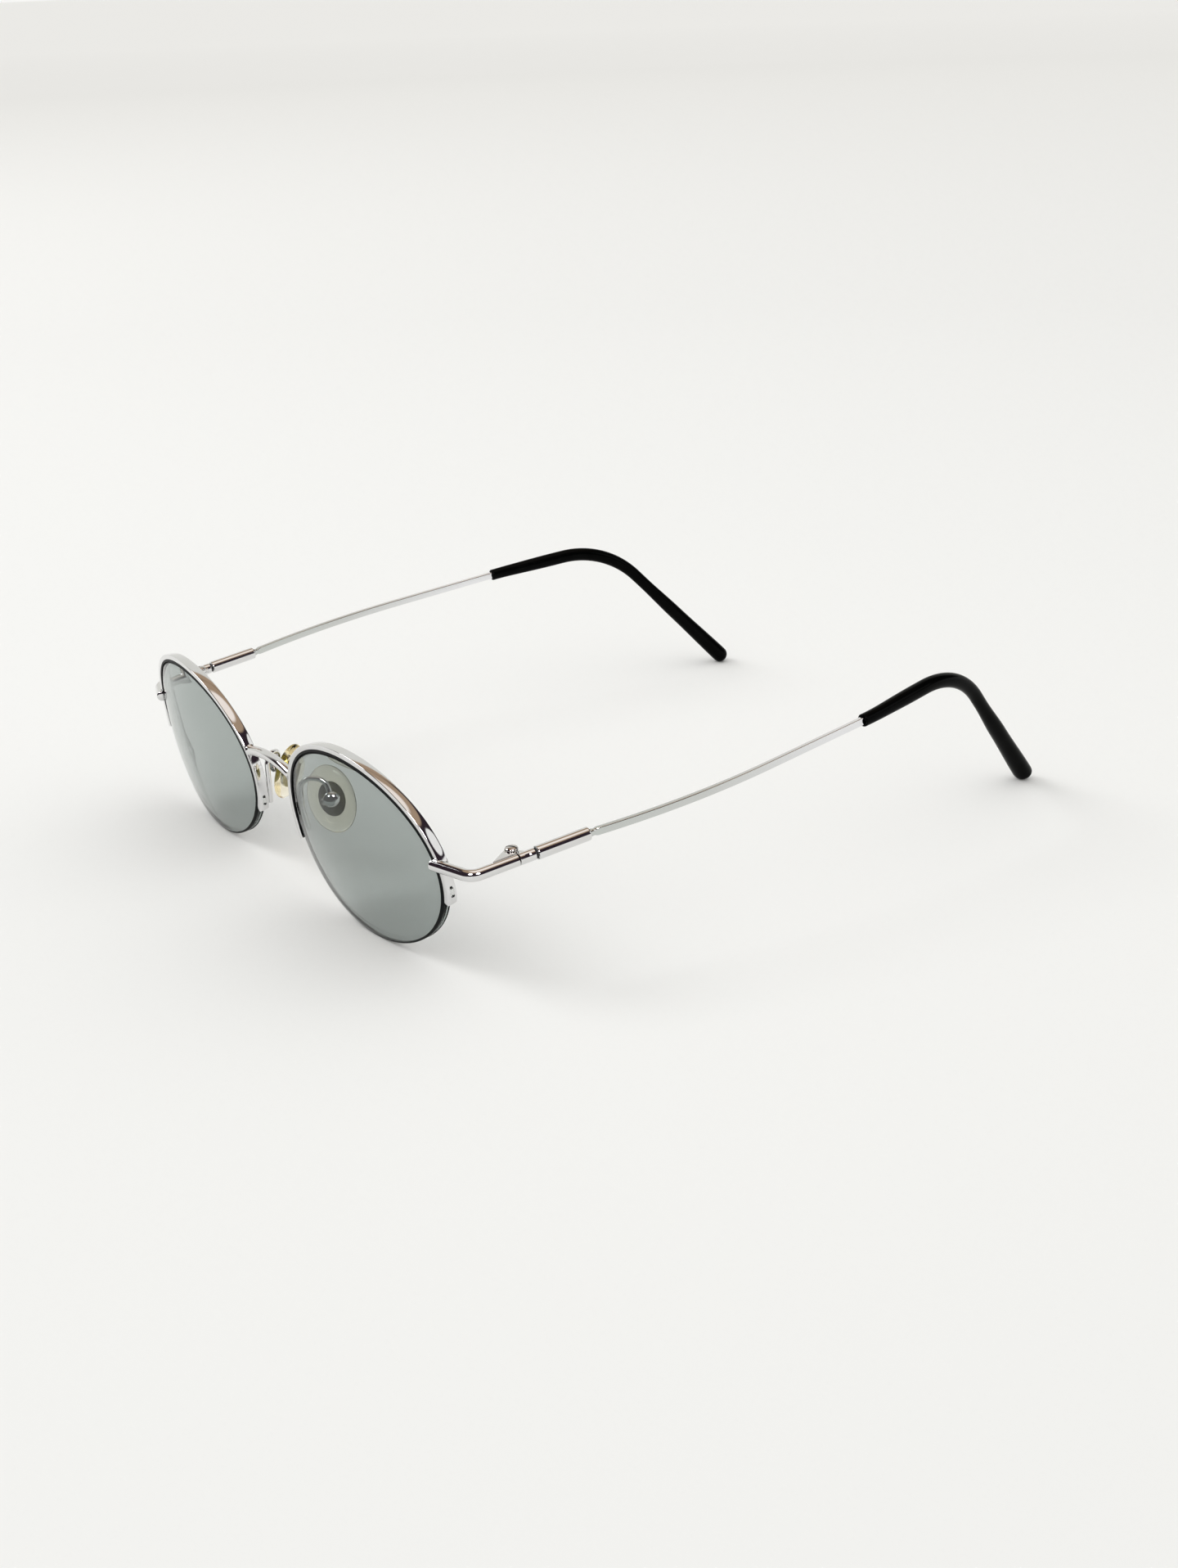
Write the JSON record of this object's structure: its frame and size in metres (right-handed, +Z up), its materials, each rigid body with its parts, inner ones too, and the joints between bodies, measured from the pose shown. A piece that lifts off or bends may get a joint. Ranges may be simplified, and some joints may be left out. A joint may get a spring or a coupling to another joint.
{
  "type": "eyeglasses",
  "caption": "Half-rim eyeglasses with tinted oval lenses held by a nylon line, sprung folding temples with black tips, and rocking silicone nose pads.",
  "frame": {"origin": "under the middle of the bounding box, at the height of the table that the open glasses stand on", "axes": "+X to the wearer's left, across the face; +Y from the lenses back along the temples; +Z up"},
  "size_m": [0.13, 0.1426, 0.0347],
  "materials": {
    "chrome": "polished",
    "steel": "satin",
    "tinted_lens": "clear grey-green tint",
    "clear_line": "clear nylon",
    "rim_liner": "black",
    "silicone": "clear amber",
    "pad_core": "olive",
    "black_tip": "glossy black"
  },
  "bodies": {
    "front": {"half_rim_left": "chrome", "half_rim_right": "chrome", "lens_left": "tinted_lens", "lens_right": "tinted_lens", "nylon_line_left": "clear_line", "nylon_line_right": "clear_line", "rim_liner_left": "rim_liner", "rim_liner_right": "rim_liner", "pad_arm_left": "chrome", "pad_arm_right": "chrome", "pad_box_left": "chrome", "pad_box_right": "chrome", "pad_screw_left": "steel", "pad_screw_right": "steel", "endpiece_left": "chrome", "endpiece_right": "chrome", "front_hinge_left": "chrome", "front_hinge_right": "chrome", "hinge_screw_left": "steel", "hinge_screw_right": "steel", "bridge": "chrome"},
    "link_left": {"hinge_link_left": "chrome", "plunger_nut_left": "steel"},
    "temple_left": {"spring_sleeve_left": "chrome", "sleeve_bush_left": "steel", "flex_spring_left": "steel", "temple_wire_left": "chrome", "temple_tip_left": "black_tip"},
    "pad_left": {"nose_pad_left": "silicone", "pad_core_left": "pad_core"},
    "link_right": {"hinge_link_right": "chrome", "plunger_nut_right": "steel"},
    "temple_right": {"spring_sleeve_right": "chrome", "sleeve_bush_right": "steel", "flex_spring_right": "steel", "temple_wire_right": "chrome", "temple_tip_right": "black_tip"},
    "pad_right": {"nose_pad_right": "silicone", "pad_core_right": "pad_core"}
  },
  "joints": [
    {"name": "fold_left", "type": "hinge", "parent": "front", "child": "link_left", "pos_m": [0.0597, -0.05532, 0.02108], "axis": [-0.0051, -0.0974, 0.9952], "range_deg": [-3, 90]},
    {"name": "flex_left", "type": "slide", "parent": "link_left", "child": "temple_left", "axis": [0.0521, 0.9939, 0.0976], "range_m": [0, 0.0012], "stiffness_N_per_m": 1500, "deforming": ["flex_spring_left"]},
    {"name": "pad_rock_left", "type": "hinge", "parent": "front", "child": "pad_left", "pos_m": [0.01088, -0.06238, 0.01751], "axis": [0.3738, 0.9031, 0.2114], "range_deg": [-12, 12]},
    {"name": "fold_right", "type": "hinge", "parent": "front", "child": "link_right", "pos_m": [-0.0597, -0.05532, 0.02108], "axis": [-0.0051, 0.0974, -0.9952], "range_deg": [-3, 84]},
    {"name": "flex_right", "type": "slide", "parent": "link_right", "child": "temple_right", "axis": [-0.0521, 0.9939, 0.0976], "range_m": [0, 0.0012], "stiffness_N_per_m": 1500, "deforming": ["flex_spring_right"]},
    {"name": "pad_rock_right", "type": "hinge", "parent": "front", "child": "pad_right", "pos_m": [-0.01088, -0.06238, 0.01751], "axis": [0.3738, -0.9031, -0.2114], "range_deg": [-12, 12]}
  ]
}
